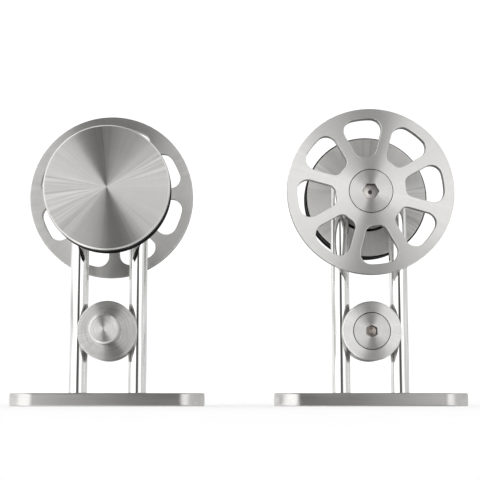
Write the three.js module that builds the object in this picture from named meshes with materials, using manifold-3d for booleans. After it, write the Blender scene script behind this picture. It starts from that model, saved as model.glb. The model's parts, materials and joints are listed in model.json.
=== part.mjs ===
// A pair of top-mounted sliding door hangers for a flat rail: on each, a spoked wheel and a grooved
// roller share one axle, carried by two rods that stand on a base plate, with a clamp lower down.
// Units are millimetres and +Z is up. A hanger's own frame has its origin under the middle of the base
// plate, its rods in the plane y = 0 and its spoked wheel at the front, towards -Y.
import * as THREE from 'three';
import { mergeVertices } from 'three/addons/utils/BufferGeometryUtils.js';
import Module from 'manifold-3d';

const wasm = await Module();
wasm.setup();

// ---- driving dimensions ----
const HANGER_SPACING = 144;
const LEFT_WHEEL_ANGLE = 19.1;
const RIGHT_WHEEL_ANGLE = 7;

const PLATE = { length: 106, width: 29, thickness: 7, chamfer: 0.8 };
const DOOR_HOLE = { radius: 2.75, headRadius: 5.5, land: 0.2, places: [-44, -31, 31, 44] };

const ROD = { radius: 5, spacing: 32.3, top: 124, chamfer: 0.8 };
const ROD_SCREW = {
  radius: 3, headRadius: 5.7, land: 0.3, recess: 0.4, length: 19, socket: 4, socketDepth: 2.2, gap: 0.3,
};

const AXLE_HEIGHT = 117;
const BORE_GAP = 0.2;
const AXLE_SCREW = { radius: 6, headRadius: 12, land: 0.4, length: 30.5, socket: 8, socketDepth: 4.5 };
const HUB = { radius: 18.5, halfWidth: 6.5, boreRadius: 10.6, ribRadius: 9.7, ribHalfWidth: 1 };

const BEARING = { outerRadius: 10.5, ringInner: 9.2, ringOuter: 7.3, width: 5, centre: 3.5 };
const RACE_DEPTH = 0.45;
const CAGE = { innerRadius: 7.65, outerRadius: 8.85, halfWidth: 0.8, balls: 8, ballRadius: 1.15 };

const WHEEL = { radius: 46, thickness: 5, front: -13.5, bossRadius: 14, bossDepth: 1.5 };
const WINDOW = {
  count: 8, innerRadius: 19.3, outerRadius: 40.5, spokeHalfWidth: 3, innerFillet: 4.5, outerFillet: 6,
};
const SPACER = { radius: 8, tubeRadius: 7.2 };

const ROLLER = { front: 7.5, treadRadius: 27.5, flangeRadius: 34.5, spigotRadius: 12 };
const FRONT_DISC = { radius: 33.6, holeRadius: 19.5, thickness: 1.5 };
const SHIELD = { radius: 19.2, recess: 0.4 };
const FLANGE_THICKNESS = 2;
const GROOVE_WIDTH = 7;
const CAP = { radius: 34.25, thickness: 3, chamfer: 0.8, boreDepth: 10.5 };

const CLAMP = { height: 40.5, radius: 16.25, outer: 9, inner: 0.4, chamfer: 0.6 };
const CLAMP_SCREW = { radius: 5, headRadius: 10, land: 0.4, length: 25, socket: 6, socketDepth: 3.5 };
const STUD = {
  radius: 8, length: 20, chamfer: 1, boreDepth: 9, grooveDepth: 0.3, grooveWidth: 0.8, grooves: [4, 13],
};

// How far a cutter runs past the face that it enters, a screw's pointed end, and the welding distance.
const RUN_OUT = 1;
const SCREW_TIP = 1;
const WELD = 1e-4;

const SEGMENTS = { small: 12, medium: 20, large: 32, wheel: 48, plateEnd: 6, window: 2, cage: 16 };

// ---- materials ----
function finish(color, roughness, metalness) {
  return new THREE.MeshStandardMaterial({ color, roughness, metalness });
}

const MATERIALS = {
  turned: () => finish(0xc9c9c7, 0.35, 1),
  satin: () => finish(0xd6d6d4, 0.4, 1),
  polished: () => finish(0xd2d3d4, 0.12, 1),
  brushed: () => finish(0xb4b4b1, 0.45, 1),
  fastener: () => finish(0xbdbdbb, 0.3, 1),
  bearing: () => finish(0xa9acb0, 0.2, 1),
  brass: () => finish(0xb08d4a, 0.4, 1),
  nylon: () => finish(0x141414, 0.55, 0),
  seal: () => finish(0x101010, 0.7, 0),
};

// ---- solids ----
// Turns a closed geometry into a solid, facing outwards.
function solid(geometry) {
  const bare = geometry.clone();
  bare.deleteAttribute('normal');
  bare.deleteAttribute('uv');
  const merged = mergeVertices(bare, WELD);
  const points = merged.attributes.position.array;
  const index = merged.index.array;
  const triangles = [];
  let volume = 0;
  for (let i = 0; i < index.length; i += 3) {
    const [a, b, c] = [index[i], index[i + 1], index[i + 2]];
    if (a === b || b === c || c === a) continue;
    triangles.push(a, b, c);
    volume += signedVolume(points, a, b, c);
  }
  if (volume < 0) triangles.reverse();
  return new wasm.Manifold(new wasm.Mesh({
    numProp: 3,
    vertProperties: new Float32Array(points),
    triVerts: new Uint32Array(triangles),
  }));
}

function signedVolume(points, a, b, c) {
  const corner = (i) => new THREE.Vector3().fromArray(points, 3 * i);
  return corner(a).dot(corner(b).cross(corner(c)));
}

// Names a solid, gives it a material and makes it a mesh.
function part(name, body, material) {
  const { vertProperties, triVerts } = body.getMesh();
  const geometry = new THREE.BufferGeometry();
  geometry.setAttribute('position', new THREE.BufferAttribute(new Float32Array(vertProperties), 3));
  geometry.setIndex(new THREE.BufferAttribute(new Uint32Array(triVerts), 1));
  geometry.computeVertexNormals();
  const mesh = new THREE.Mesh(geometry, MATERIALS[material]());
  mesh.name = name;
  return mesh;
}

// Turns a profile of [radius, y] points about the Y axis. A ring's profile is closed on itself.
function turned(profile, segments) {
  const onAxis = profile[0][0] === 0;
  const closed = onAxis ? profile : [...profile, profile[0]];
  return solid(new THREE.LatheGeometry(closed.map(([r, y]) => new THREE.Vector2(r, y)), segments));
}

function disc(radius, y0, y1, segments, chamfer0 = 0, chamfer1 = 0) {
  return turned([
    [0, y0],
    [radius - chamfer0, y0],
    ...(chamfer0 ? [[radius, y0 + chamfer0]] : []),
    ...(chamfer1 ? [[radius, y1 - chamfer1]] : []),
    [radius - chamfer1, y1],
    [0, y1],
  ], segments);
}

function ring(inner, outer, y0, y1, segments) {
  return turned([[inner, y0], [outer, y0], [outer, y1], [inner, y1]], segments);
}

// A countersunk screw along +Y with its head's face at y = 0. Its socket has a corner at the top, unless
// it is turned.
function countersunkScrew({ radius, headRadius, land, length, socket, socketDepth }, segments, turn = 0) {
  const coneEnd = land + headRadius - radius;
  const body = turned([
    [0, 0],
    [headRadius, 0],
    [headRadius, land],
    [radius, coneEnd],
    [radius, length - SCREW_TIP],
    [radius - SCREW_TIP, length],
    [0, length],
  ], segments);
  const corner = socket / 2 / Math.cos(Math.PI / 6);
  const key = new THREE.CylinderGeometry(corner, corner, 2 * socketDepth, 6);
  key.rotateY(turn);
  return body.subtract(solid(key));
}

// The hole that a countersunk screw sits in, with the clearance given.
function countersink({ radius, headRadius, land }, gap, through, segments) {
  const r = radius + gap;
  const head = headRadius + gap;
  return turned([
    [0, -RUN_OUT],
    [head, -RUN_OUT],
    [head, land],
    [r, land + head - r],
    [r, through],
    [0, through],
  ], segments);
}

// ---- base plate and rods ----
function obround(length, width) {
  const r = width / 2;
  const straight = length / 2 - r;
  const shape = new THREE.Shape();
  shape.absarc(straight, 0, r, -Math.PI / 2, Math.PI / 2, false);
  shape.absarc(-straight, 0, r, Math.PI / 2, 1.5 * Math.PI, false);
  return shape;
}

function basePlate() {
  const { length, width, thickness, chamfer } = PLATE;
  const outline = obround(length - 2 * chamfer, width - 2 * chamfer);
  const geometry = new THREE.ExtrudeGeometry(outline, {
    depth: thickness - 2 * chamfer,
    bevelSize: chamfer,
    bevelThickness: chamfer,
    bevelSegments: 1,
    curveSegments: SEGMENTS.plateEnd,
  });
  geometry.translate(0, 0, chamfer);
  let plate = solid(geometry);
  for (const x of DOOR_HOLE.places) {
    plate = plate.subtract(doorHole().translate([x, 0, thickness]));
  }
  for (const x of rodPlaces()) {
    plate = plate.subtract(rodScrewHole().translate([x, 0, ROD_SCREW.recess]));
  }
  return plate;
}

// A countersunk hole for a door screw, entered from above at z = 0.
function doorHole() {
  return countersink(DOOR_HOLE, 0, PLATE.thickness + RUN_OUT, SEGMENTS.small).rotate([-90, 0, 0]);
}

function rodScrewHole() {
  const hole = countersink(ROD_SCREW, ROD_SCREW.gap, PLATE.thickness + RUN_OUT, SEGMENTS.small);
  return hole.rotate([90, 0, 0]);
}

function rodPlaces() {
  return [-ROD.spacing / 2, ROD.spacing / 2];
}

// A rod standing on the plate, with a blind hole for its screw.
function rod() {
  const { radius, top, chamfer } = ROD;
  const body = disc(radius, PLATE.thickness, top, SEGMENTS.medium, 0, chamfer);
  const bore = ROD_SCREW.radius + BORE_GAP;
  const hole = disc(bore, PLATE.thickness - RUN_OUT, ROD_SCREW.length + 2 * RUN_OUT, SEGMENTS.small);
  return body.subtract(hole).rotate([90, 0, 0]);
}

function rodScrew() {
  return countersunkScrew(ROD_SCREW, SEGMENTS.small).rotate([90, 0, 0]).translate([0, 0, ROD_SCREW.recess]);
}

// ---- hub and bearings ----
// Vertical holes for the two rods, in the frame of a piece whose centre is at a height on the rods.
function rodHoles(body, gap, reach) {
  let cut = body;
  for (const x of rodPlaces()) {
    const hole = disc(ROD.radius + gap, -reach, reach, SEGMENTS.medium).rotate([90, 0, 0]);
    cut = cut.subtract(hole.translate([x, 0, 0]));
  }
  return cut;
}

function hubBlock() {
  const { radius, halfWidth, boreRadius, ribRadius, ribHalfWidth } = HUB;
  const block = turned([
    [ribRadius, -ribHalfWidth],
    [boreRadius, -ribHalfWidth],
    [boreRadius, -halfWidth],
    [radius, -halfWidth],
    [radius, halfWidth],
    [boreRadius, halfWidth],
    [boreRadius, ribHalfWidth],
    [ribRadius, ribHalfWidth],
  ], SEGMENTS.large);
  return rodHoles(block, BORE_GAP, 2 * radius);
}

// A bearing ring with its race cut into the side that faces the balls.
function bearingRing(wall, face, raceSide) {
  const half = BEARING.width / 2;
  return turned([
    [wall, -half],
    [face, -half],
    [face + raceSide * RACE_DEPTH, 0],
    [face, half],
    [wall, half],
  ], SEGMENTS.medium);
}

function bearingCage() {
  const { innerRadius, outerRadius, halfWidth, balls, ballRadius } = CAGE;
  let cage = ring(innerRadius, outerRadius, -halfWidth, halfWidth, SEGMENTS.cage);
  const pitch = (innerRadius + outerRadius) / 2;
  for (let i = 0; i < balls; i += 1) {
    const angle = (i * 2 * Math.PI) / balls;
    const ball = solid(new THREE.OctahedronGeometry(ballRadius).rotateY(-angle));
    cage = cage.add(ball.translate([pitch * Math.cos(angle), 0, pitch * Math.sin(angle)]));
  }
  return cage;
}

// ---- spoked wheel ----
// One window between two spokes: parallel-sided spokes, round corners, arcs inside and outside.
function windowOutline(middle) {
  const { count, innerRadius, outerRadius, spokeHalfWidth, innerFillet, outerFillet } = WINDOW;
  const half = Math.PI / count;
  const outerCentre = outerRadius - outerFillet;
  const innerCentre = innerRadius + innerFillet;
  const outerAngle = half - Math.asin((spokeHalfWidth + outerFillet) / outerCentre);
  const innerAngle = half - Math.asin((spokeHalfWidth + innerFillet) / innerCentre);
  const side = half + Math.PI / 2;
  const path = new THREE.Path();
  // Adds an arc whose centre is at a distance and angle from the wheel's, with angles from the middle.
  const arc = (distance, angle, radius, from, to) => {
    const x = distance * Math.cos(middle + angle);
    const z = distance * Math.sin(middle + angle);
    path.absarc(x, z, radius, middle + from, middle + to, to < from);
  };
  arc(0, 0, outerRadius, -outerAngle, outerAngle);
  arc(outerCentre, outerAngle, outerFillet, outerAngle, side);
  arc(innerCentre, innerAngle, innerFillet, side, Math.PI + innerAngle);
  arc(0, 0, innerRadius, innerAngle, -innerAngle);
  arc(innerCentre, -innerAngle, innerFillet, Math.PI - innerAngle, 2 * Math.PI - side);
  arc(outerCentre, -outerAngle, outerFillet, -side, -outerAngle);
  path.closePath();
  return path;
}

// The wheel, with its front face at y = 0 and a low boss behind it, bored for the axle screw.
function spokedWheel() {
  const { radius, thickness, bossRadius, bossDepth } = WHEEL;
  const outline = new THREE.Shape();
  outline.absarc(0, 0, radius, 0, 2 * Math.PI, false);
  const web = new THREE.Shape(outline.getPoints(SEGMENTS.wheel / 2));
  for (let i = 0; i < WINDOW.count; i += 1) {
    const window = windowOutline((i * 2 * Math.PI) / WINDOW.count);
    web.holes.push(new THREE.Path(window.getPoints(SEGMENTS.window)));
  }
  const geometry = new THREE.ExtrudeGeometry(web, { depth: thickness, bevelEnabled: false });
  geometry.rotateX(Math.PI / 2);
  geometry.translate(0, thickness, 0);
  const boss = disc(bossRadius, thickness - RUN_OUT, thickness + bossDepth, SEGMENTS.medium);
  const hole = countersink(AXLE_SCREW, BORE_GAP, 2 * thickness, SEGMENTS.medium);
  return solid(geometry).add(boss).subtract(hole);
}

// ---- roller ----
// The cap, its spigot through the roller's core, and the blind hole for the axle screw.
function rearCap() {
  const { radius, thickness, chamfer, boreDepth } = CAP;
  const back = rollerBack();
  const end = back + thickness;
  const bore = AXLE_SCREW.radius + BORE_GAP;
  return turned([
    [0, ROLLER.front + boreDepth],
    [bore, ROLLER.front + boreDepth],
    [bore, ROLLER.front],
    [ROLLER.spigotRadius, ROLLER.front],
    [ROLLER.spigotRadius, back],
    [radius - chamfer, back],
    [radius, back + chamfer],
    [radius, end - chamfer],
    [radius - chamfer, end],
    [0, end],
  ], SEGMENTS.wheel);
}

function rollerBack() {
  return ROLLER.front + FRONT_DISC.thickness + 2 * FLANGE_THICKNESS + GROOVE_WIDTH;
}

function addRoller(group, prefix) {
  const bore = ROLLER.spigotRadius + BORE_GAP;
  const flangeFront = ROLLER.front + FRONT_DISC.thickness;
  const grooveFront = flangeFront + FLANGE_THICKNESS;
  const grooveBack = grooveFront + GROOVE_WIDTH;
  const frontDisc = ring(FRONT_DISC.holeRadius, FRONT_DISC.radius, ROLLER.front, flangeFront, SEGMENTS.large);
  const shield = ring(bore, SHIELD.radius, ROLLER.front + SHIELD.recess, flangeFront, SEGMENTS.medium);
  const frontFlange = ring(bore, ROLLER.flangeRadius, flangeFront, grooveFront, SEGMENTS.large);
  const tread = ring(bore, ROLLER.treadRadius, grooveFront, grooveBack, SEGMENTS.large);
  const rearFlange = ring(bore, ROLLER.flangeRadius, grooveBack, rollerBack(), SEGMENTS.large);
  group.add(part(`${prefix}_roller_front_disc`, frontDisc, 'turned'));
  group.add(part(`${prefix}_dust_shield`, shield, 'seal'));
  group.add(part(`${prefix}_roller_front_flange`, frontFlange, 'nylon'));
  group.add(part(`${prefix}_roller_tread`, tread, 'nylon'));
  group.add(part(`${prefix}_roller_rear_flange`, rearFlange, 'nylon'));
  group.add(part(`${prefix}_rear_cap`, rearCap(), 'turned'));
}

// ---- clamp ----
function clampFrontDisc() {
  const { radius, outer, inner, chamfer } = CLAMP;
  const body = disc(radius, -outer, -inner, SEGMENTS.large, chamfer, 0);
  const hole = countersink(CLAMP_SCREW, BORE_GAP, 2 * outer, SEGMENTS.medium);
  return rodHoles(body.subtract(hole.translate([0, -outer, 0])), BORE_GAP, 2 * radius);
}

function clampRearDisc() {
  const { radius, outer, inner, chamfer } = CLAMP;
  const body = disc(radius, inner, outer, SEGMENTS.large, 0, chamfer);
  const hole = disc(CLAMP_SCREW.radius + BORE_GAP, 0, 2 * outer, SEGMENTS.medium);
  return rodHoles(body.subtract(hole), BORE_GAP, 2 * radius);
}

function antiJumpStud() {
  const { radius, length, chamfer, boreDepth, grooveDepth, grooveWidth, grooves } = STUD;
  const start = CLAMP.outer;
  const bore = CLAMP_SCREW.radius + BORE_GAP;
  const profile = [[0, start + boreDepth], [bore, start + boreDepth], [bore, start], [radius, start]];
  for (const place of grooves) {
    profile.push([radius, start + place]);
    profile.push([radius - grooveDepth, start + place + grooveWidth / 2]);
    profile.push([radius, start + place + grooveWidth]);
  }
  profile.push([radius, start + length - chamfer], [radius - chamfer, start + length], [0, start + length]);
  return turned(profile, SEGMENTS.medium);
}

function addClamp(group, prefix) {
  const screw = countersunkScrew(CLAMP_SCREW, SEGMENTS.medium);
  group.add(part(`${prefix}_clamp_front_disc`, clampFrontDisc(), 'turned'));
  group.add(part(`${prefix}_clamp_rear_disc`, clampRearDisc(), 'turned'));
  group.add(part(`${prefix}_clamp_screw`, screw.translate([0, -CLAMP.outer, 0]), 'fastener'));
  group.add(part(`${prefix}_anti_jump_stud`, antiJumpStud(), 'turned'));
}

// ---- one hanger ----
function addStand(group, prefix) {
  group.add(part(`${prefix}_base_plate`, basePlate(), 'brushed'));
  const sides = ['a', 'b'];
  rodPlaces().forEach((x, i) => {
    group.add(part(`${prefix}_rod_${sides[i]}`, rod().translate([x, 0, 0]), 'polished'));
    group.add(part(`${prefix}_rod_screw_${sides[i]}`, rodScrew().translate([x, 0, 0]), 'fastener'));
  });
}

function addBearings(group, prefix) {
  group.add(part(`${prefix}_hub_block`, hubBlock(), 'satin'));
  const bore = AXLE_SCREW.radius + BORE_GAP;
  for (const [end, y] of [['front', -BEARING.centre], ['rear', BEARING.centre]]) {
    const outer = bearingRing(BEARING.outerRadius, BEARING.ringInner, 1).translate([0, y, 0]);
    const inner = bearingRing(bore, BEARING.ringOuter, -1).translate([0, y, 0]);
    group.add(part(`${prefix}_${end}_bearing_outer_ring`, outer, 'bearing'));
    group.add(part(`${prefix}_${end}_bearing_inner_ring`, inner, 'bearing'));
    group.add(part(`${prefix}_${end}_bearing_cage`, bearingCage().translate([0, y, 0]), 'brass'));
  }
}

function addAxle(group, prefix, wheelAngle) {
  const bore = AXLE_SCREW.radius + BORE_GAP;
  const wheelBack = WHEEL.front + WHEEL.thickness + WHEEL.bossDepth;
  const bearingFace = BEARING.centre + BEARING.width / 2;
  const tubeHalf = BEARING.centre - BEARING.width / 2;
  const wheel = part(`${prefix}_spoked_wheel`, spokedWheel(), 'satin');
  wheel.position.y = WHEEL.front;
  wheel.rotation.y = -THREE.MathUtils.degToRad(wheelAngle);
  const screwBody = countersunkScrew(AXLE_SCREW, SEGMENTS.medium, Math.PI / 6);
  const screw = part(`${prefix}_axle_screw`, screwBody, 'fastener');
  screw.position.y = WHEEL.front;
  const frontSpacer = ring(bore, SPACER.radius, wheelBack, -bearingFace, SEGMENTS.medium);
  const tube = ring(bore, SPACER.tubeRadius, -tubeHalf, tubeHalf, SEGMENTS.medium);
  const rearSpacer = ring(bore, SPACER.radius, bearingFace, ROLLER.front, SEGMENTS.medium);
  group.add(wheel, screw);
  group.add(part(`${prefix}_front_spacer`, frontSpacer, 'fastener'));
  group.add(part(`${prefix}_spacer_tube`, tube, 'fastener'));
  group.add(part(`${prefix}_rear_spacer`, rearSpacer, 'fastener'));
  addRoller(group, prefix);
}

function hanger(prefix, x, turn, wheelAngle) {
  const whole = new THREE.Group();
  whole.position.x = x;
  whole.rotation.z = turn;
  addStand(whole, prefix);
  const onAxle = new THREE.Group();
  onAxle.position.z = AXLE_HEIGHT;
  addBearings(onAxle, prefix);
  addAxle(onAxle, prefix, wheelAngle);
  const onRods = new THREE.Group();
  onRods.position.z = CLAMP.height;
  addClamp(onRods, prefix);
  whole.add(onAxle, onRods);
  return whole;
}

const pair = new THREE.Group();
pair.add(hanger('left', -HANGER_SPACING / 2, Math.PI, LEFT_WHEEL_ANGLE));
pair.add(hanger('right', HANGER_SPACING / 2, 0, RIGHT_WHEEL_ANGLE));

export default pair;
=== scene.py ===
"""Two top-mounted sliding door hangers in stainless steel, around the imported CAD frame.

Each piece is made in its hanger's own frame, with the spoked wheel at the front, towards -Y, and its
origin on its own axis, and is placed by its object's matrix. Lengths written out are in millimetres.
Places and outer sizes come from the frame.
"""

import json
import math

import bmesh
import bpy
from mathutils import Matrix, Vector

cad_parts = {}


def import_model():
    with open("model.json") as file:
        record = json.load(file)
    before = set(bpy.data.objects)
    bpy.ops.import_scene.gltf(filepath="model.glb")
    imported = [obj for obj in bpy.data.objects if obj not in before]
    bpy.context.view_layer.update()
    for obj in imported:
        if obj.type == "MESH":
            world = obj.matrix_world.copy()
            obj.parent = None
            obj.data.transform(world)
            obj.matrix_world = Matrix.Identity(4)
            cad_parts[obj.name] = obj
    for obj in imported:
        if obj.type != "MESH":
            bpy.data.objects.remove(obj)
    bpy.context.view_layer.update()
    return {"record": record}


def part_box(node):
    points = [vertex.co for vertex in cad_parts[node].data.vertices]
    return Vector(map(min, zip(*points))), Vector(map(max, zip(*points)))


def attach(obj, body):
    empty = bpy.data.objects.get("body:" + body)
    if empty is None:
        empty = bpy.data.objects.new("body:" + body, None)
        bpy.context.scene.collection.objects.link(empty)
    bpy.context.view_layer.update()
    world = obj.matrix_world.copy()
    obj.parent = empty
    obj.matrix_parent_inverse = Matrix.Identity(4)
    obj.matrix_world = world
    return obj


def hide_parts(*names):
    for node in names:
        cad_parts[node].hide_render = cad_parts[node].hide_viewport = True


MM = 0.001
TAU = 2 * math.pi
SIDES = ("left", "right")
RODS = ("rod_a", "rod_b")

# ---- the camera, with its angles in radians ----
CAMERA_PLACE = Vector((-11.5, -650, 5)) * MM
CAMERA_YAW = 0.0182
CAMERA_PITCH = 0.1321
CAMERA_LENS = 88.5
CAMERA_SENSOR = 36
CAMERA_NEAR = 10

# ---- the studio: its lights, and where they are, as angles from -Y in radians where not said ----
FLOOR_HALF_SIZE = 3000
WHITE_LIGHT = 1.12  # what the camera and matt surfaces see on all sides
PANEL_LIGHT = 1.38
PANEL_ENDS = (1.35, 0.85)  # of the left and the right panel
PANEL_BLUR = 0.15
FAR_LIGHTS = (0.75, 0.5)  # past the left panel's end, and past the right one's
SIDES_BLUR = 0.2  # of x, between left and right
WEDGE_LIGHT = 0.21  # all that the dark wedges give, added on the other sides too
ABOVE = {"middle": 1.63, "half_width": 0.48, "end": 1.8}  # the middle is an angle around Y from +X
BELOW = {"middle": -1.38, "half_width": 0.46, "end": 1.35}
WEDGE_BLUR = 0.08
WEDGE_FADE = 0.3
BACK_START = 2.2  # where both wedges start again, behind
GAP_REACH = (0.18, 0.40)  # sines of the angles where the dark gap starts to fade and ends
GAP_LIGHT = 0.08  # over the light around it
FRONT_BLUR = 0.1  # of y, between front and back
STREAKS = 0.5  # how much streaks change the panels' light
STREAK_COUNT = 14.0

# ---- details that the frame's boxes don't give ----
TURN = {"left": math.pi, "right": 0.0}  # about Z, in radians
WHEEL_ANGLE = {"left": 19.1, "right": 7.0}  # in degrees
GAP = 0.2  # around what a bore or a seat holds
HEAD_RELIEF = 0.15  # how much smaller a countersunk head is than its seat, besides the gap
SOFT, FINE_SOFT = 0.12, 0.1  # how far a plain edge and a small one are rounded
HOLE_EDGE = 0.15
SHARP_ANGLE = 8.0  # in degrees: faces that meet at more than this keep a sharp edge between them
FLAT = 0.99  # a face is on a flat end if more of its normal than this is along the axis

# Points in a full circle, by the size of the piece, and in each half circle of the plate's ends.
HOLE, SMALL, MEDIUM, TREAD, DISC, LARGE = 64, 96, 128, 160, 192, 224
PLATE_END = 48

PLATE_EDGE = 0.8
DOOR_HOLES = (-44, -31, 31, 44)
DOOR_HOLE_RADIUS = 2.75
DOOR_HOLE_EDGE = 0.2
DOOR_HEAD_RADIUS = 5.5
RECESS_GAP, RECESS_LAND = 0.3, 0.7
ROD_EDGE = 0.8
SEAT_REACH = 30  # how far a rod's seat is cut above and below a piece's axis

# Radii of a screw's shank, head and drilled hole, its socket's width across flats, the head's straight
# edge, the socket's depth, and how deep the drilled hole goes below its floor.
ROD_SCREW = {"shank": 3, "head": 5.7, "land": 0.3, "socket": 4, "depth": 2.2, "drill": 1.1, "pit": 0.6}
AXLE_SCREW = {"shank": 6, "head": 12, "land": 0.4, "socket": 8, "depth": 4.5, "drill": 1.2, "pit": 1.9}
CLAMP_SCREW = {"shank": 5, "head": 10, "land": 0.4, "socket": 6, "depth": 3.5, "drill": 1.9, "pit": 0.6}
SCREW_EDGE = 1
SOCKET_MOUTH = 0.25
SOCKET_TAPER = 0.05
SOCKET_FLOOR = 0.85  # over half the socket's width
DRILL_EDGE = 0.3
DRILL_POINT = 0.6  # the depth of the hole's cone over its radius

HUB_BORE = 10.6
HUB_RIB = 9.7
HUB_RIB_HALF_WIDTH = 1
OUTER_RING_INSIDE = 9.2
RACE_DEPTH = 0.45
RACE_HALF_WIDTH = 1.1
RACE_ANGLES = (-1.4, -0.9, -0.45, 0, 0.45, 0.9, 1.4)
CAGE_RADII = (7.65, 8.85)
CAGE_HALF_WIDTH = 0.8
CAGE_SHARP_ANGLE = 15
BALLS = 8
BALL_RADIUS = 1.15

WINDOWS = 8
WINDOW_INNER, WINDOW_OUTER = 19.3, 40.5
SPOKE_HALF_WIDTH = 3
INNER_FILLET, OUTER_FILLET = 4.5, 6
WINDOW_EDGE = 0.3
WHEEL_THICKNESS = 5
BOSS_RADIUS = 14
SPIGOT_RADIUS = 12
DISC_GAP = 0.3
CAP_THICKNESS = 3
CAP_EDGE = 0.8
CAP_BORE_DEPTH = 10.5
CLAMP_EDGE = 0.6
STUD_EDGE = 1
STUD_BORE_DEPTH = 9
STUD_GROOVES = (4, 13)
GROOVE_WIDTH, GROOVE_DEPTH = 0.8, 0.3

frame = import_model()
BODY_OF = {node: body for body, nodes in frame["record"]["behaviour"]["bodies"].items() for node in nodes}


# ---- where things are ----
class Hanger:
    """One hanger's place, and its nodes' extents in its own frame, in millimetres."""

    def __init__(self, side):
        self.side = side
        self.turn = TURN[side]
        low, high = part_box(f"{side}_base_plate")
        self.x = (low.x + high.x) / 2

    def extent(self, node):
        """The node's centre, lowest and highest point, radius across Z, half length along X, and front and
        back along the hanger's own Y."""
        low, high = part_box(f"{self.side}_{node}")
        ends = (low.y, high.y) if self.turn == 0 else (-high.y, -low.y)
        x = (low.x + high.x) / 2 - self.x
        return {
            "x": (x if self.turn == 0 else -x) / MM,
            "z": (low.z + high.z) / 2 / MM,
            "low": low.z / MM,
            "high": high.z / MM,
            "radius": (high.z - low.z) / 2 / MM,
            "half_length": (high.x - low.x) / 2 / MM,
            "front": ends[0] / MM,
            "back": ends[1] / MM,
        }

    def matrix(self, x, z):
        turned_about = Matrix.Translation((self.x, 0, 0)) @ Matrix.Rotation(self.turn, 4, "Z")
        return turned_about @ Matrix.Translation((x * MM, 0, z * MM))


# ---- meshes ----
def circle(radius, y, count):
    return [
        Vector((radius * math.cos(TAU * i / count), y, radius * math.sin(TAU * i / count)))
        for i in range(count)
    ]


def hexagon(apothem, y, count, turn=0.0):
    """A hexagonal ring of points with a corner at the angle given from +X."""
    flat = TAU / 6
    points = []
    for i in range(count):
        angle = TAU * i / count
        radius = apothem / math.cos(angle % flat - flat / 2)
        points.append(Vector((radius * math.cos(angle + turn), y, radius * math.sin(angle + turn))))
    return points


def softened(profile, soft=SOFT, steps=3, closed=False):
    """A profile of [radius, y] corners, rounded at each corner but an open profile's two ends.

    The rounding takes at most a third of a side."""
    result = []
    last = len(profile) - 1
    for i, corner in enumerate(profile):
        here = Vector(corner)
        if not closed and (i in (0, last)):
            result.append(here)
            continue
        before = Vector(profile[i - 1]) - here
        after = Vector(profile[(i + 1) % len(profile)]) - here
        reach = min(soft, before.length / 3, after.length / 3)
        start = here + before.normalized() * reach
        end = here + after.normalized() * reach
        for step in range(steps + 1):
            t = step / steps
            result.append((1 - t) ** 2 * start + 2 * t * (1 - t) * here + t * t * end)
    return [(p.x, p.y) for p in result]


def skin(bm, rows, closed=False):
    """Joins rows of points, each as long as the others, or a single point on the axis, by faces."""
    made = [[bm.verts.new(p) for p in row] for row in rows]
    pairs = list(zip(made, made[1:]))
    if closed:
        pairs.append((made[-1], made[0]))
    for a, b in pairs:
        count = max(len(a), len(b))
        for i in range(count):
            j = (i + 1) % count
            corners = [a[i % len(a)], a[j % len(a)], b[j % len(b)], b[i % len(b)]]
            bm.faces.new(list(dict.fromkeys(corners)))
    return made


def turned_rows(profile, count):
    return [[Vector((0, y, 0))] if r == 0 else circle(r, y, count) for r, y in profile]


def fill(bm, loops):
    """Fills the flat face between an outline and the holes in it, given as rows of vertices."""
    edges = []
    for row in loops:
        edges += [bm.edges.get((a, b)) for a, b in zip(row, row[1:] + row[:1])]
    bmesh.ops.triangle_fill(bm, edges=edges, use_beauty=True)


def to_mesh(name, bm, sharp=SHARP_ANGLE):
    """Scales the mesh from millimetres, faces it outwards and shades it smooth up to an angle."""
    bmesh.ops.scale(bm, verts=bm.verts, vec=(MM, MM, MM))
    bmesh.ops.recalc_face_normals(bm, faces=bm.faces)
    for face in bm.faces:
        face.smooth = True
    mesh = bpy.data.meshes.new(name)
    bm.to_mesh(mesh)
    bm.free()
    mesh.set_sharp_from_angle(angle=math.radians(sharp))
    return mesh


def turned(name, profile, count=MEDIUM, soft=SOFT, closed=False):
    """A profile of [radius, y] corners turned about Y."""
    bm = bmesh.new()
    skin(bm, turned_rows(softened(profile, soft, closed=closed), count), closed)
    return to_mesh(name, bm)


def washer(name, inner, outer, front, back, count, soft=SOFT):
    corners = [(inner, front), (outer, front), (outer, back), (inner, back)]
    return turned(name, corners, count, soft, closed=True)


def upright(mesh):
    """Turns a mesh made along +Y to stand along +Z."""
    mesh.transform(Matrix.Rotation(math.pi / 2, 4, "X"))


def cut(mesh, cutters):
    """Takes each cutter's mesh, with its matrix, out of a mesh."""
    body = bpy.data.objects.new("being_cut", mesh)
    bpy.context.scene.collection.objects.link(body)
    tools = []
    for tool_mesh, matrix in cutters:
        tool = bpy.data.objects.new("cutter", tool_mesh)
        tool.matrix_world = matrix
        bpy.context.scene.collection.objects.link(tool)
        modifier = body.modifiers.new("cut", "BOOLEAN")
        modifier.operation = "DIFFERENCE"
        modifier.solver = "EXACT"
        modifier.object = tool
        tools.append(tool)
    bpy.context.view_layer.update()
    evaluated = body.evaluated_get(bpy.context.evaluated_depsgraph_get())
    result = bpy.data.meshes.new_from_object(evaluated)
    result.name = mesh.name
    for thing in [*tools, body]:
        bpy.data.objects.remove(thing)
    for face in result.polygons:
        face.use_smooth = True
    result.set_sharp_from_angle(angle=math.radians(SHARP_ANGLE))
    return result


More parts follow.
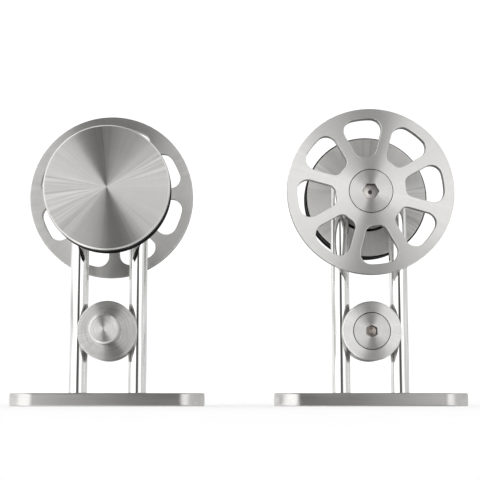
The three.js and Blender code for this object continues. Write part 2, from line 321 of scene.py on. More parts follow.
def countersunk_screw(name, size, front, back, turn=0.0):
    """A countersunk screw along +Y: head, shank, and a hexagon socket with a drilled hole in its floor.

    Its finishes are 0 outside, 1 in the socket, and 2 on the socket's walls and in a deep hole, where the
    finish is painted shade."""
    head, land, shank = size["head"] - HEAD_RELIEF, size["land"], size["shank"]
    key, drill, pit = size["socket"] / 2, size["drill"], size["pit"]
    floor_y = front + size["depth"]
    outside = softened([
        (head - SCREW_EDGE, front), (head, front), (head, front + land), (shank, front + land + head - shank),
        (shank, back - SCREW_EDGE), (shank - SCREW_EDGE, back), (0, back),
    ])
    socket = [
        [Vector((0, floor_y + pit + DRILL_POINT * drill, 0))],
        circle(drill, floor_y + pit, SMALL),
        circle(drill, floor_y + DRILL_EDGE, SMALL),
        circle(SOCKET_FLOOR * key, floor_y, SMALL),
        hexagon(key - SOCKET_TAPER, floor_y, SMALL, turn),
        hexagon(key, front + SOCKET_MOUTH, SMALL, turn),
    ]
    mouth = hexagon(key + SOCKET_MOUTH, front, SMALL, turn)
    bm = bmesh.new()
    skin(bm, [*socket, mouth, *turned_rows(outside, SMALL)])
    bm.faces.ensure_lookup_table()
    bands = len(socket) - 1
    for i, face in enumerate(bm.faces[:bands * SMALL]):
        band = i // SMALL
        in_deep_hole = band < 2 and pit > drill
        on_wall = band == bands - 1
        # Finish 2, on the walls and in a deep hole, is painted shade.
        face.material_index = 2 if in_deep_hole or on_wall else 1
    return to_mesh(name, bm)


def window_outline(middle, inset):
    """One wheel window in (x, z), made smaller all round by the inset."""
    half = math.pi / WINDOWS
    outer = WINDOW_OUTER - OUTER_FILLET
    inner = WINDOW_INNER + INNER_FILLET
    outer_angle = half - math.asin((SPOKE_HALF_WIDTH + OUTER_FILLET) / outer)
    inner_angle = half - math.asin((SPOKE_HALF_WIDTH + INNER_FILLET) / inner)
    side = half + math.pi / 2
    # Each arc's centre, radius, first and last angle, steps, and whether a straight wall follows it.
    arcs = (
        (0, 0, WINDOW_OUTER - inset, -outer_angle, outer_angle, 14, False),
        (outer, outer_angle, OUTER_FILLET - inset, outer_angle, side, 16, True),
        (inner, inner_angle, INNER_FILLET - inset, side, math.pi + inner_angle, 12, False),
        (0, 0, WINDOW_INNER + inset, inner_angle, -inner_angle, 4, False),
        (inner, -inner_angle, INNER_FILLET - inset, math.pi - inner_angle, TAU - side, 12, True),
        (outer, -outer_angle, OUTER_FILLET - inset, -side, -outer_angle, 16, False),
    )
    points = []
    for distance, at, radius, start, end, steps, wall_follows in arcs:
        centre = Vector((math.cos(middle + at), math.sin(middle + at))) * distance
        for i in range(steps + wall_follows):
            angle = middle + start + (end - start) * i / steps
            points.append(centre + Vector((math.cos(angle), math.sin(angle))) * radius)
    return points


def rounded_through(front, back, edge, steps=3):
    """(inset, y) pairs for a wall from a front face to a back face with its two edges rounded off."""
    turn = [math.pi / 2 * i / steps for i in range(steps + 1)]
    start = [(edge * (1 - math.sin(a)), front + edge * (1 - math.cos(a))) for a in turn]
    return start + [(inset, front + back - y) for inset, y in reversed(start)]


def wheel_mesh(radius, boss_depth):
    """The spoked wheel, its front face at y = 0, its windows' edges rounded and its boss behind."""
    bm = bmesh.new()
    walls = rounded_through(0, WHEEL_THICKNESS, WINDOW_EDGE)
    outlines = [skin(bm, [circle(radius - inset, y, LARGE) for inset, y in walls])]
    for i in range(WINDOWS):
        rows = []
        for inset, y in walls:
            rows.append([Vector((p.x, y, p.y)) for p in window_outline(TAU * i / WINDOWS, -inset)])
        outlines.append(skin(bm, rows))
    head = AXLE_SCREW["head"] + GAP
    shank = AXLE_SCREW["shank"] + GAP
    land = AXLE_SCREW["land"]
    boss_back = WHEEL_THICKNESS + boss_depth
    middle = softened([
        (head + 2 * HOLE_EDGE, 0), (head + HOLE_EDGE, 0), (head, HOLE_EDGE), (head, land),
        (shank, land + head - shank), (shank, boss_back), (BOSS_RADIUS, boss_back),
        (BOSS_RADIUS, WHEEL_THICKNESS),
    ])
    outlines.append(skin(bm, turned_rows(middle, SMALL)))
    fill(bm, [rows[0] for rows in outlines])
    fill(bm, [rows[-1] for rows in outlines])
    return to_mesh("wheel", bm)


def obround(half_length, radius, inset):
    points = []
    straight = half_length - radius
    reach = radius - inset
    for end, start in ((straight, -math.pi / 2), (-straight, math.pi / 2)):
        for i in range(PLATE_END + 1):
            angle = start + math.pi * i / PLATE_END
            points.append(Vector((end + reach * math.cos(angle), reach * math.sin(angle))))
    return points


def plate_mesh(half_length, radius, thickness, rod_places):
    """The obround plate, lying on z = 0, with its door-screw holes and the recesses under the rods."""
    bm = bmesh.new()
    walls = rounded_through(0, thickness, PLATE_EDGE, 4)
    rim = [[Vector((p.x, p.y, z)) for p in obround(half_length, radius, inset)] for inset, z in walls]
    outlines = [skin(bm, rim)]
    cone = DOOR_HEAD_RADIUS - DOOR_HOLE_RADIUS
    door = softened([
        (DOOR_HOLE_RADIUS + DOOR_HOLE_EDGE, 0), (DOOR_HOLE_RADIUS, DOOR_HOLE_EDGE),
        (DOOR_HOLE_RADIUS, thickness - cone), (DOOR_HEAD_RADIUS, thickness),
        (DOOR_HEAD_RADIUS + HOLE_EDGE, thickness),
    ], FINE_SOFT)
    head, shank = ROD_SCREW["head"] + RECESS_GAP, ROD_SCREW["shank"] + RECESS_GAP
    recess = softened([
        (head + HOLE_EDGE, 0), (head, HOLE_EDGE), (head, RECESS_LAND),
        (shank, RECESS_LAND + head - shank), (shank, thickness),
    ], FINE_SOFT)
    places = [(x, door) for x in DOOR_HOLES] + [(x, recess) for x in rod_places]
    angles = [TAU * i / HOLE for i in range(HOLE)]
    for x, profile in places:
        hole = [[Vector((x + r * math.cos(a), r * math.sin(a), z)) for a in angles] for r, z in profile]
        outlines.append(skin(bm, hole))
    fill(bm, [rows[0] for rows in outlines])
    fill(bm, [rows[-1] for rows in outlines])
    return to_mesh("plate", bm)


def cage_mesh(front, back):
    """The ring that holds a bearing's balls, with the balls in it."""
    inner, outer = CAGE_RADII
    pitch = (inner + outer) / 2
    centre = (front + back) / 2
    start, end = centre - CAGE_HALF_WIDTH, centre + CAGE_HALF_WIDTH
    ring = softened([(inner, start), (outer, start), (outer, end), (inner, end)], closed=True)
    bm = bmesh.new()
    skin(bm, turned_rows(ring, SMALL), True)
    for i in range(BALLS):
        angle = TAU * i / BALLS
        place = Matrix.Translation((pitch * math.cos(angle), centre, pitch * math.sin(angle)))
        bmesh.ops.create_icosphere(bm, subdivisions=3, radius=BALL_RADIUS, matrix=place)
    return to_mesh("cage", bm, CAGE_SHARP_ANGLE)


def race_ring(size, race):
    """A bearing ring with a round race in the side that faces the balls.

    The race is 1 on the ring outside them, and -1 on the ring inside them."""
    front, back = size["front"], size["back"]
    if race > 0:
        wall, face = size["radius"], OUTER_RING_INSIDE
    else:
        wall, face = AXLE_SCREW["shank"] + GAP, size["radius"]
    middle = (front + back) / 2
    groove = [
        (face + race * RACE_DEPTH * math.cos(a), middle + math.sin(a) * RACE_HALF_WIDTH)
        for a in RACE_ANGLES
    ]
    corners = [(wall, front), (face, front), *groove, (face, back), (wall, back)]
    return turned("race", corners, SMALL, FINE_SOFT, closed=True)


# ---- node trees ----
class Nodes:
    """A node tree, with short ways to add and join nodes."""

    MIX_FIRST, MIX_SECOND, MIX_RESULT = 6, 7, 2  # a Mix node's colour sockets

    def __init__(self, tree):
        self.tree = tree

    def add(self, kind, settings=None, **inputs):
        node = self.tree.nodes.new(kind)
        for key, value in (settings or {}).items():
            setattr(node, key, value)
        for key, value in inputs.items():
            self.set(node, key.replace("_", " "), value)
        return node

    def set(self, node, key, value):
        """Gives an input, by its name or number, a value or another node's output."""
        if isinstance(value, bpy.types.NodeSocket):
            self.tree.links.new(value, node.inputs[key])
        else:
            node.inputs[key].default_value = value

    def math(self, operation, a, b=0.0):
        node = self.add("ShaderNodeMath", {"operation": operation})
        self.set(node, 0, a)
        self.set(node, 1, b)
        return node.outputs[0]

    def plus(self, a, b):
        return self.math("ADD", a, b)

    def minus(self, a, b):
        return self.math("SUBTRACT", a, b)

    def times(self, a, b):
        return self.math("MULTIPLY", a, b)

    def length(self, a, b):
        return self.math("SQRT", self.plus(self.times(a, a), self.times(b, b)))

    def blend(self, factor, first, second):
        return self.plus(self.times(factor, second), self.times(self.minus(1.0, factor), first))

    def between(self, value, start, end):
        """From 0 at the start to 1 at the end, smoothly. The end may be the lower one."""
        rising = end > start
        node = self.add(
            "ShaderNodeMapRange", {"interpolation_type": "SMOOTHSTEP"}, Value=value,
            From_Min=min(start, end), From_Max=max(start, end),
            To_Min=0.0 if rising else 1.0, To_Max=1.0 if rising else 0.0,
        )
        return node.outputs["Result"]

    def spread(self, value, low, high, start=0.3, end=0.7):
        """Maps a noise's useful range to low..high."""
        node = self.add(
            "ShaderNodeMapRange", Value=value, From_Min=start, From_Max=end, To_Min=low, To_Max=high,
        )
        return node.outputs["Result"]

    def vector(self, x, y, z):
        return self.add("ShaderNodeCombineXYZ", X=x, Y=y, Z=z).outputs[0]

    def rings(self, reach, across, up, per_mm, drift):
        """Where to look up a noise that makes rings, so many to a millimetre, and drifts on its way round."""
        return self.vector(self.times(reach, per_mm), self.times(across, drift), self.times(up, drift))

    def rays(self, across, up, count, along):
        """Where to look up a noise that makes rays, and changes by the last value along them."""
        return self.vector(self.times(across, count), self.times(up, count), along)

    def noise(self, vector, detail=2.0, roughness=0.5):
        node = self.add("ShaderNodeTexNoise", Vector=vector, Scale=1.0, Detail=detail, Roughness=roughness)
        return node.outputs["Fac"]

    def place(self, x=1.0, y=1.0, z=1.0):
        """Object coordinates, in millimetres times a scale along each axis."""
        coordinates = self.add("ShaderNodeTexCoord").outputs["Object"]
        return self.add("ShaderNodeMapping", Vector=coordinates, Scale=[x / MM, y / MM, z / MM]).outputs[0]

    def polar(self):
        """The radius about the object's Y axis, the direction from it (x, z), and y, in millimetres."""
        x, y, z = self.add("ShaderNodeSeparateXYZ", Vector=self.place()).outputs
        radius = self.length(x, z)
        safe = self.math("MAXIMUM", radius, 0.05)
        return radius, self.math("DIVIDE", x, safe), self.math("DIVIDE", z, safe), y

    def shade(self, colour, amount):
        """A colour made lighter or darker by an amount around 1."""
        grey = self.add("ShaderNodeCombineColor", Red=amount, Green=amount, Blue=amount)
        mix = self.add("ShaderNodeMix", {"data_type": "RGBA", "blend_type": "MULTIPLY"}, Factor=1.0)
        self.set(mix, self.MIX_FIRST, (*colour, 1))
        self.set(mix, self.MIX_SECOND, grey.outputs[0])
        return mix.outputs[self.MIX_RESULT]

    def tangent(self, axis):
        """The direction round one of the object's axes."""
        return self.add("ShaderNodeTangent", {"direction_type": "RADIAL", "axis": axis}).outputs[0]


class MaterialNodes(Nodes):
    """A new material's node tree, around its one shader."""

    def __init__(self, name):
        self.material = bpy.data.materials.new(name)
        self.material.use_nodes = True
        super().__init__(self.material.node_tree)
        self.shader = self.tree.nodes["Principled BSDF"]

    def bump(self, height, depth):
        node = self.add("ShaderNodeBump", Height=height, Distance=depth * MM, Strength=1.0)
        self.set(self.shader, "Normal", node.outputs[0])

    def finish(self, colour, roughness, **constants):
        self.set(self.shader, "Base Color", colour)
        self.set(self.shader, "Roughness", roughness)
        for key, value in constants.items():
            self.set(self.shader, key.replace("_", " "), value)
        return self.material


# ---- materials ----
def turned_steel(name, colour, roughness, anisotropy, groove, tone, streaks=0.04, pitch=0.2, metallic=1.0):
    """Faced on a lathe: rings about the piece's axis, streaks across them that are partly chatter marks and
    partly painted reflection glints, and handling marks.

    The groove is how deep the rings are, over 0.006 mm. The tone and the streaks are how much the rings
    and the streaks change the colour, and the pitch is the finest rings' width in millimetres."""
    n = MaterialNodes(name)
    radius, across, up, y = n.polar()
    reach = n.plus(radius, n.times(y, 0.7))
    fine = n.noise(n.rings(reach, across, up, 1 / pitch, 1.2), 2.0, 0.7)
    broad = n.noise(n.rings(reach, across, up, 1.1, 0.5))
    streak = n.noise(n.rays(across, up, 16.0, n.times(radius, 0.015)), 2.0, 0.6)
    patches = n.noise(n.rays(across, up, 1.6, 0.0), 1.0)
    marks = n.noise(n.place(0.09, 0.09, 0.09), 4.0, 0.6)
    # Lighter and darker rays in the colour: partly chatter marks, partly painted reflection glints.
    glints = n.times(n.spread(streak, -1.0, 1.0), n.spread(patches, 0.15, 1.0, 0.42, 0.6))
    amount = n.plus(n.spread(fine, 1 - tone, 1 + tone), n.times(glints, streaks))
    amount = n.plus(amount, n.spread(broad, -tone / 3, tone / 3))
    rough = n.plus(n.spread(fine, -0.03, 0.03), n.spread(marks, roughness - 0.02, roughness + 0.03))
    n.bump(n.plus(fine, n.times(broad, 0.6)), 0.006 * groove)
    return n.finish(n.shade(colour, amount), rough, Metallic=metallic, Anisotropic=anisotropy,
                    Anisotropic_Rotation=0.25, Tangent=n.tangent("Y"))


def brushed_steel(name, colour, roughness, anisotropy):
    """Long-grain brushing along the piece's X."""
    n = MaterialNodes(name)
    grain = n.noise(n.place(0.012, 4.0, 4.0), 3.0, 0.65)
    long = n.noise(n.place(0.03, 0.8, 0.8))
    marks = n.noise(n.place(0.06, 0.12, 0.12), 4.0, 0.6)
    amount = n.plus(n.spread(grain, -0.07, 0.07), n.spread(long, 0.96, 1.04))
    rough = n.plus(n.spread(grain, -0.04, 0.04), n.spread(marks, roughness - 0.03, roughness + 0.04))
    n.bump(grain, 0.006)
    return n.finish(n.shade(colour, amount), rough, Metallic=1.0, Anisotropic=anisotropy,
                    Tangent=n.tangent("X"))


def polished_steel(name, colour, roughness):
    """Bright bar, with faint lines left along its length and fine scuffs round it."""
    n = MaterialNodes(name)
    lines = n.noise(n.place(3.0, 3.0, 0.02), 3.0, 0.6)
    scuffs = n.noise(n.place(0.4, 0.4, 2.5), 4.0, 0.7)
    amount = n.plus(n.spread(lines, -0.03, 0.03), n.spread(scuffs, 0.98, 1.02))
    rough = n.plus(n.spread(lines, -0.01, 0.02), n.spread(scuffs, roughness - 0.01, roughness + 0.03))
    n.bump(n.plus(lines, scuffs), 0.0015)
    return n.finish(n.shade(colour, amount), rough, Metallic=1.0)


def plain_metal(name, colour, roughness):
    """Metal with a fine grain and no direction, as in a socket or on a window wall; its darkest copies carry
    painted shade.
    """
    n = MaterialNodes(name)
    grain = n.noise(n.place(1.5, 1.5, 1.5), 4.0, 0.6)
    rough = n.spread(grain, roughness - 0.04, roughness + 0.06)
    n.bump(grain, 0.004)
    return n.finish(n.shade(colour, n.spread(grain, 0.93, 1.05)), rough, Metallic=1.0)


def dark_plastic(name, colour, roughness, grain_scale):
    """Machined nylon or moulded rubber: a low sheen, a fine grain, and paler rubbed patches."""
    n = MaterialNodes(name)
    radius, across, up, _ = n.polar()
    lines = n.noise(n.rings(radius, across, up, 3.0, 0.8), 2.0, 0.6)
    grain = n.noise(n.place(grain_scale, grain_scale, grain_scale), 3.0, 0.7)
    rubbed = n.noise(n.place(0.15, 0.15, 0.15), 4.0, 0.6)
    amount = n.plus(n.spread(rubbed, 0.8, 1.5), n.spread(lines, -0.15, 0.15))
    rough = n.plus(n.spread(grain, -0.05, 0.05), n.spread(rubbed, roughness - 0.06, roughness + 0.06))
    n.bump(n.plus(grain, lines), 0.012)
    return n.finish(n.shade(colour, amount), rough, Specular_IOR_Level=0.25)


# The cap's strong streaks are partly painted reflection glints.
CAP_STEEL = turned_steel("cap_steel", (0.65, 0.642, 0.625), 0.36, 0.97, groove=0.8, tone=0.035, streaks=0.2)
# Brighter copy of the turned steel for chamfers, rounded edges and the roller disc's rim: partly a polished
# finish, partly a painted highlight that draws a bright line round them.
EDGE_HIGHLIGHT_STEEL = turned_steel("edge_highlight_steel", (0.86, 0.85, 0.83), 0.3, 0.3, groove=0.2, tone=0.02, streaks=0.0)
# Darker copy of the turned steel for the sides of turned pieces: painted shade that tones down their sides.
SIDE_SHADE_STEEL = turned_steel("side_shade_steel", (0.55, 0.545, 0.535), 0.38, 0.5, groove=0.8, tone=0.04, streaks=0.0)
WHEEL_STEEL = turned_steel("wheel_steel", (0.88, 0.872, 0.856), 0.42, 0.9,
                           groove=0.6, tone=0.03, streaks=0.03)
WHEEL_BACK_STEEL = turned_steel("wheel_back_steel", (0.80, 0.792, 0.775), 0.42, 0.97,
                                groove=0.8, tone=0.04, streaks=0.06)
DISC_STEEL = turned_steel("disc_steel", (0.90, 0.893, 0.875), 0.39, 0.93,
                          groove=1.2, tone=0.06, streaks=0.05, pitch=0.4)
BACK_DISC_STEEL = turned_steel("back_disc_steel", (0.80, 0.792, 0.78), 0.42, 0.97,
                               groove=1.4, tone=0.14, streaks=0.08, pitch=0.55)
# Brighter, partly matt copy of the disc steel: painted light that lifts the roller's front disc out of the
# shade of the wheel in front of it.
ROLLER_DISC_PAINTED_LIGHT_STEEL = turned_steel("roller_disc_painted_light_steel", (0.95, 0.94, 0.92), 0.5, 0.97,
                                 groove=1.0, tone=0.04, streaks=0.2, metallic=0.75)
SCREW_STEEL = turned_steel("screw_steel", (0.80, 0.792, 0.775), 0.33, 0.95,
                           groove=0.8, tone=0.05, streaks=0.05)
SOCKET_STEEL = plain_metal("socket_steel", (0.70, 0.67, 0.64), 0.3)
# Darker, browner steel for the clamp screw's socket: painted shade in the socket.
SOCKET_SHADE_STEEL = plain_metal("socket_shade_steel", (0.42, 0.375, 0.34), 0.38)
# Dark steel for the wheel windows' walls: painted shade on the walls.
WINDOW_WALL_SHADE_STEEL = plain_metal("window_wall_shade_steel", (0.36, 0.355, 0.345), 0.45)
# Near-black steel for the screws' seats, the sockets' walls and the axle screw's deep hole: painted shade in
# these recesses.
RECESS_SHADE_STEEL = plain_metal("recess_shade_steel", (0.16, 0.155, 0.15), 0.5)
PLATE_STEEL = brushed_steel("plate_steel", (0.69, 0.68, 0.665), 0.36, 0.8)
# Darker copy of the plate steel for its top and underside: painted shade that tones down the top.
PLATE_TOP_SHADE_STEEL = brushed_steel("plate_top_shade_steel", (0.52, 0.513, 0.50), 0.36, 0.8)
ROD_STEEL = polished_steel("rod_steel", (0.84, 0.838, 0.83), 0.06)
BEARING_STEEL = turned_steel("bearing_steel", (0.6, 0.61, 0.62), 0.2, 0.6, groove=0.5, tone=0.03)
CAGE_BRASS = plain_metal("cage_brass", (0.62, 0.42, 0.16), 0.32)
NYLON = dark_plastic("black_nylon", (0.005, 0.005, 0.0055), 0.5, 2.0)
RUBBER = dark_plastic("black_rubber", (0.005, 0.005, 0.005), 0.6, 3.0)
SCREW_FINISHES = [SCREW_STEEL, SOCKET_STEEL, RECESS_SHADE_STEEL]
CLAMP_SCREW_FINISHES = [SCREW_STEEL, SOCKET_SHADE_STEEL, RECESS_SHADE_STEEL]


# ---- which finish a face has ----
def choose_finish(mesh, choose):
    """Sets each face's place in its piece's list of finishes."""
    for face in mesh.polygons:
        face.material_index = choose(face)


def plate_finish(face):
    """1 on the plate's top and underside, and 0 elsewhere."""
    return 1 if abs(face.normal.z) > FLAT else 0


def face_edge_side(face):
    """On a turned piece, 0 on its flat ends, 1 on its chamfers and rounded edges, and 2 on its sides."""
    flatness = abs(face.normal.y)
    return 0 if flatness > FLAT else 1 if flatness > 0.1 else 2


def in_seat(face, screw, margin):
    """Whether a face is in a countersunk screw's seat, or on its edge within a margin."""
    reach = (screw["head"] + GAP + margin) * MM
    return math.hypot(face.center.x, face.center.z) < reach and face.normal.y < 0.9


def clamp_finish(face):
    """As face_edge_side, but 3 in the screw's seat, which gets painted shade."""
    return 3 if in_seat(face, CLAMP_SCREW, 0.1) else face_edge_side(face)


def wheel_finish(face):
    """0 on the wheel's front, 1 on its back, 2 on its window walls, darkened as painted shade, and 3 in the
    screw's seat, also painted shade.
    """
    if in_seat(face, AXLE_SCREW, 0):
        return 3
    if abs(face.normal.y) < 0.5:
        return 2
    return 1 if face.normal.y > 0.9 else 0


# ---- pieces ----
def piece(hanger, node, mesh, materials, matrix):
    """Puts a mesh in place of a CAD node, on the body that the node rides on."""
    for material in materials:
        mesh.materials.append(material)
    full = f"{hanger.side}_{node}"
    made = bpy.data.objects.new(f"{full}_visual", mesh)
    bpy.context.scene.collection.objects.link(made)
    made.matrix_world = matrix
    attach(made, BODY_OF[full])
    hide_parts(full)


def rod_cutters(hanger):
    """A cutter for each rod's seat in a piece on the rods."""
    cutters = []
    for name in RODS:
        rod = hanger.extent(name)
        radius = rod["half_length"] + GAP
        profile = [(0, -SEAT_REACH), (radius, -SEAT_REACH), (radius, SEAT_REACH), (0, SEAT_REACH)]
        mesh = turned("seat", profile, SMALL, 0)
        upright(mesh)
        cutters.append((mesh, Matrix.Translation((rod["x"] * MM, 0, 0))))
    return cutters


def stand(hanger):
    """The plate, and the two rods with the screws that hold them."""
    plate = hanger.extent("base_plate")
    rods = {name: hanger.extent(name) for name in RODS}
    places = [rod["x"] for rod in rods.values()]
    mesh = plate_mesh(plate["half_length"], plate["back"], plate["high"], places)
    choose_finish(mesh, plate_finish)
    piece(hanger, "base_plate", mesh, [PLATE_STEEL, PLATE_TOP_SHADE_STEEL], hanger.matrix(0, 0))
    for name, rod in rods.items():
        radius, bottom, top = rod["half_length"], rod["low"], rod["high"]
        mesh = turned("rod", [
            (0, bottom), (radius, bottom), (radius, top - ROD_EDGE), (radius - ROD_EDGE, top), (0, top),
        ], SMALL, 0.2)
        upright(mesh)
        piece(hanger, name, mesh, [ROD_STEEL], hanger.matrix(rod["x"], 0))
        screw_name = name.replace("rod", "rod_screw")
        screw = hanger.extent(screw_name)
        mesh = countersunk_screw("rod_screw", ROD_SCREW, screw["low"], screw["high"])
        upright(mesh)
        piece(hanger, screw_name, mesh, SCREW_FINISHES, hanger.matrix(screw["x"], 0))


def bearings(hanger):
    """The hub, and the two ball bearings in it."""
    at = hanger.matrix(0, hanger.extent("axle_screw")["z"])
    hub = hanger.extent("hub_block")
    half, radius, rib = hub["back"], hub["radius"], HUB_RIB_HALF_WIDTH
    mesh = turned("hub", [
        (HUB_RIB, -rib), (HUB_BORE, -rib), (HUB_BORE, -half), (radius, -half),
        (radius, half), (HUB_BORE, half), (HUB_BORE, rib), (HUB_RIB, rib),
    ], MEDIUM, 0.3, closed=True)
    mesh = cut(mesh, rod_cutters(hanger))
    choose_finish(mesh, face_edge_side)
    piece(hanger, "hub_block", mesh, [DISC_STEEL, DISC_STEEL, SIDE_SHADE_STEEL], at)
    for end in ("front", "rear"):
        for kind, race in (("outer", 1), ("inner", -1)):
            node = f"{end}_bearing_{kind}_ring"
            mesh = race_ring(hanger.extent(node), race)
            piece(hanger, node, mesh, [BEARING_STEEL], at)
        node = f"{end}_bearing_cage"
        size = hanger.extent(node)
        piece(hanger, node, cage_mesh(size["front"], size["back"]), [CAGE_BRASS], at)


def axle(hanger):
    """The axle screw, and on it the spoked wheel and the spacers."""
    screw = hanger.extent("axle_screw")
    at = hanger.matrix(0, screw["z"])
    mesh = countersunk_screw("axle_screw", AXLE_SCREW, screw["front"], screw["back"])
    piece(hanger, "axle_screw", mesh, SCREW_FINISHES, at)
    wheel = hanger.extent("spoked_wheel")
    mesh = wheel_mesh(wheel["radius"], wheel["back"] - wheel["front"] - WHEEL_THICKNESS)
    spin = Matrix.Rotation(-math.radians(WHEEL_ANGLE[hanger.side]), 4, "Y")
    mesh.transform(Matrix.Translation((0, wheel["front"] * MM, 0)) @ spin)
    choose_finish(mesh, wheel_finish)
    finishes = [WHEEL_STEEL, WHEEL_BACK_STEEL, WINDOW_WALL_SHADE_STEEL, RECESS_SHADE_STEEL]
    piece(hanger, "spoked_wheel", mesh, finishes, at)
    bore = AXLE_SCREW["shank"] + GAP
    for node in ("front_spacer", "spacer_tube", "rear_spacer"):
        size = hanger.extent(node)
        mesh = washer(node, bore, size["radius"], size["front"], size["back"], SMALL)
        piece(hanger, node, mesh, [SCREW_STEEL], at)


def roller(hanger):
    """The nylon roller with its dust shield and the discs on its two sides."""
    at = hanger.matrix(0, hanger.extent("axle_screw")["z"])
    bore = SPIGOT_RADIUS + GAP
    shield = hanger.extent("dust_shield")
    radius, start, end = shield["radius"], shield["front"], shield["back"]
    mesh = turned("shield", [
        (bore, start + 0.3), (bore + 1.2, start), (radius - 1.6, start),
        (radius - 1.1, start + 0.25), (radius, start + 0.1), (radius, end), (bore, end),
    ], MEDIUM, 0.15, closed=True)
    piece(hanger, "dust_shield", mesh, [RUBBER], at)
    disc = hanger.extent("roller_front_disc")
    mesh = washer("front_disc", radius + DISC_GAP, disc["radius"], disc["front"], disc["back"], DISC, 0.35)
    choose_finish(mesh, face_edge_side)
    piece(hanger, "roller_front_disc", mesh, [ROLLER_DISC_PAINTED_LIGHT_STEEL, EDGE_HIGHLIGHT_STEEL, EDGE_HIGHLIGHT_STEEL], at)
    for node in ("roller_front_flange", "roller_tread", "roller_rear_flange"):
        size = hanger.extent(node)
        mesh = washer(node, bore, size["radius"], size["front"], size["back"], TREAD, 0.4)
        piece(hanger, node, mesh, [NYLON], at)
    rear_cap(hanger, at)


def rear_cap(hanger, at):
    """The solid disc behind the roller, with the bored spigot that carries it."""
    cap = hanger.extent("rear_cap")
    radius, start, end = cap["radius"], cap["front"], cap["back"]
    bore = AXLE_SCREW["shank"] + GAP
    face = end - CAP_THICKNESS
    mesh = turned("cap", [
        (0, start + CAP_BORE_DEPTH), (bore, start + CAP_BORE_DEPTH), (bore, start), (SPIGOT_RADIUS, start),
        (SPIGOT_RADIUS, face), (radius - CAP_EDGE, face), (radius, face + CAP_EDGE),
        (radius, end - CAP_EDGE), (radius - CAP_EDGE, end), (0, end),
    ], LARGE)
    choose_finish(mesh, face_edge_side)
    piece(hanger, "rear_cap", mesh, [CAP_STEEL, EDGE_HIGHLIGHT_STEEL, SIDE_SHADE_STEEL], at)


def clamp(hanger):
    """The two discs that grip the rods, their screw, and the stud."""
    front = hanger.extent("clamp_front_disc")
    rear = hanger.extent("clamp_rear_disc")
    at = hanger.matrix(0, front["z"])
    radius = front["radius"]
    head, shank = CLAMP_SCREW["head"] + GAP, CLAMP_SCREW["shank"] + GAP
    land = CLAMP_SCREW["land"]
    start, end = front["front"], front["back"]
    mesh = turned("clamp_front", [
        (head, start + HOLE_EDGE), (head + HOLE_EDGE, start), (radius - CLAMP_EDGE, start),
        (radius, start + CLAMP_EDGE), (radius, end), (shank, end), (shank, start + land + head - shank),
        (head, start + land),
    ], MEDIUM, FINE_SOFT, closed=True)
    mesh = cut(mesh, rod_cutters(hanger))
    choose_finish(mesh, clamp_finish)
    finishes = [DISC_STEEL, DISC_STEEL, SIDE_SHADE_STEEL, RECESS_SHADE_STEEL]
    piece(hanger, "clamp_front_disc", mesh, finishes, at)
    start, end = rear["front"], rear["back"]
    mesh = turned("clamp_rear", [
        (shank, start), (radius, start), (radius, end - CLAMP_EDGE), (radius - CLAMP_EDGE, end), (shank, end),
    ], MEDIUM, FINE_SOFT, closed=True)
    mesh = cut(mesh, rod_cutters(hanger))
    choose_finish(mesh, face_edge_side)
    finishes = [BACK_DISC_STEEL, BACK_DISC_STEEL, SIDE_SHADE_STEEL]
    piece(hanger, "clamp_rear_disc", mesh, finishes, at)
    screw = hanger.extent("clamp_screw")
    mesh = countersunk_screw("clamp_screw", CLAMP_SCREW, screw["front"], screw["back"], TAU / 12)
    piece(hanger, "clamp_screw", mesh, CLAMP_SCREW_FINISHES, at)
    anti_jump_stud(hanger, at)


def anti_jump_stud(hanger, at):
    """The bored stud on the end of the clamp screw, with a groove round it at each of two places."""
    stud = hanger.extent("anti_jump_stud")
    radius, start, end = stud["radius"], stud["front"], stud["back"]
    bore = CLAMP_SCREW["shank"] + GAP
    profile = [(0, start + STUD_BORE_DEPTH), (bore, start + STUD_BORE_DEPTH), (bore, start), (radius, start)]
    for place in STUD_GROOVES:
        middle = start + place + GROOVE_WIDTH / 2
        profile.append((radius, middle - GROOVE_WIDTH / 2))
        profile.append((radius - GROOVE_DEPTH, middle))
        profile.append((radius, middle + GROOVE_WIDTH / 2))
    profile += [(radius, end - STUD_EDGE), (radius - STUD_EDGE, end), (0, end)]
    mesh = turned("stud", profile, SMALL)
    choose_finish(mesh, face_edge_side)
    piece(hanger, "anti_jump_stud", mesh, [BACK_DISC_STEEL, EDGE_HIGHLIGHT_STEEL, SIDE_SHADE_STEEL], at)


# ---- stage ----
def camera():
    data = bpy.data.cameras.new("camera")
    data.lens = CAMERA_LENS
    data.sensor_width = CAMERA_SENSOR
    data.clip_start = CAMERA_NEAR * MM
    made = bpy.data.objects.new("camera", data)
    bpy.context.scene.collection.objects.link(made)
    level = math.cos(CAMERA_PITCH)
    aim = Vector((math.sin(CAMERA_YAW) * level, math.cos(CAMERA_YAW) * level, math.sin(CAMERA_PITCH)))
    made.location = CAMERA_PLACE
    made.rotation_euler = aim.to_track_quat("-Z", "Y").to_euler()
    bpy.context.scene.camera = made


def floor():
    bm = bmesh.new()
    bmesh.ops.create_grid(bm, x_segments=8, y_segments=8, size=FLOOR_HALF_SIZE * MM)
    mesh = bpy.data.meshes.new("floor")
    bm.to_mesh(mesh)
    bm.free()
    n = MaterialNodes("floor")
    grain = n.noise(n.place(0.02, 0.02, 0.02), 3.0)
    mesh.materials.append(n.finish(n.shade((0.93, 0.93, 0.93), n.spread(grain, 0.99, 1.0)), 0.9))
    made = bpy.data.objects.new("floor", mesh)
    made.visible_glossy = False
    bpy.context.scene.collection.objects.link(made)


def wedge(n, angle, off_front, place):
    """1 within a wedge of directions around Y, as far as its end and again behind."""
    off_middle = n.math("ABSOLUTE", n.minus(angle, place["middle"]))
    half_width = place["half_width"]
    inside = n.between(off_middle, half_width + WEDGE_BLUR, half_width - WEDGE_BLUR)
    before_end = n.between(off_front, place["end"], place["end"] - WEDGE_FADE)
    behind = n.between(off_front, BACK_START, BACK_START + WEDGE_FADE)
    return n.times(inside, n.math("MAXIMUM", behind, before_end))


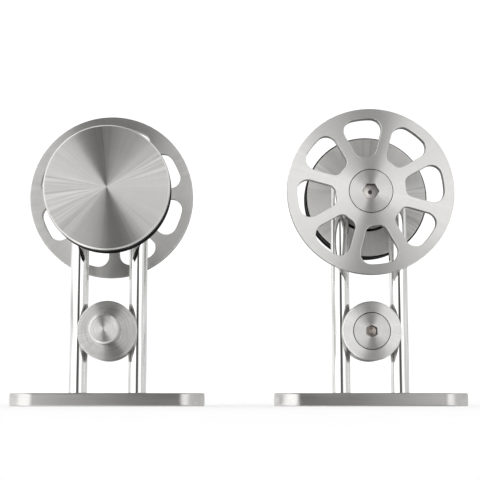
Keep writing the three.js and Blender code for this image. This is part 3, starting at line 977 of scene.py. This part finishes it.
def world():
    """A white studio. Reflections see a soft panel on each side, darker wedges above and below, and a dark
    gap between the panels, where a camera would stand."""
    made = bpy.data.worlds.new("studio")
    made.use_nodes = True
    bpy.context.scene.world = made
    n = Nodes(made.node_tree)
    direction = n.add("ShaderNodeTexCoord").outputs["Generated"]
    x, y, z = n.add("ShaderNodeSeparateXYZ", Vector=direction).outputs
    across = n.length(x, z)
    angle = n.math("ARCTAN2", z, x)
    off_front = n.math("ARCTAN2", across, n.times(y, -1.0))
    to_right = n.between(x, -SIDES_BLUR, SIDES_BLUR)
    past_panel = n.minus(off_front, n.blend(to_right, *PANEL_ENDS))
    far = n.between(past_panel, -PANEL_BLUR, PANEL_BLUR)
    panels = n.blend(far, PANEL_LIGHT, n.blend(to_right, *FAR_LIGHTS))
    wedges = n.math("MAXIMUM", wedge(n, angle, off_front, ABOVE), wedge(n, angle, off_front, BELOW))
    light = n.times(panels, n.minus(1.0, wedges))
    count = n.times(n.math("DIVIDE", 1.0, n.math("MAXIMUM", across, 0.001)), STREAK_COUNT)
    streaks = n.noise(n.rays(x, z, count, off_front), 3.0, 0.6)
    light = n.times(light, n.spread(streaks, 1 - STREAKS, 1 + STREAKS))
    light = n.plus(light, WEDGE_LIGHT)
    in_front = n.between(y, FRONT_BLUR, -FRONT_BLUR)
    gap_start, gap_end = GAP_REACH
    gap = n.times(n.between(across, gap_end, gap_start), in_front)
    light = n.times(light, n.minus(1.0, n.times(gap, 1 - GAP_LIGHT)))
    path = n.add("ShaderNodeLightPath")
    plain = n.math("MAXIMUM", path.outputs["Is Camera Ray"], path.outputs["Is Diffuse Ray"])
    background = n.tree.nodes["Background"]
    n.set(background, "Color", (1, 1, 1, 1))
    n.set(background, "Strength", n.blend(plain, light, WHITE_LIGHT))


camera()
floor()
world()
bpy.context.scene.view_settings.view_transform = "Standard"
for side in SIDES:
    hanger = Hanger(side)
    stand(hanger)
    bearings(hanger)
    axle(hanger)
    roller(hanger)
    clamp(hanger)

bpy.context.view_layer.update()
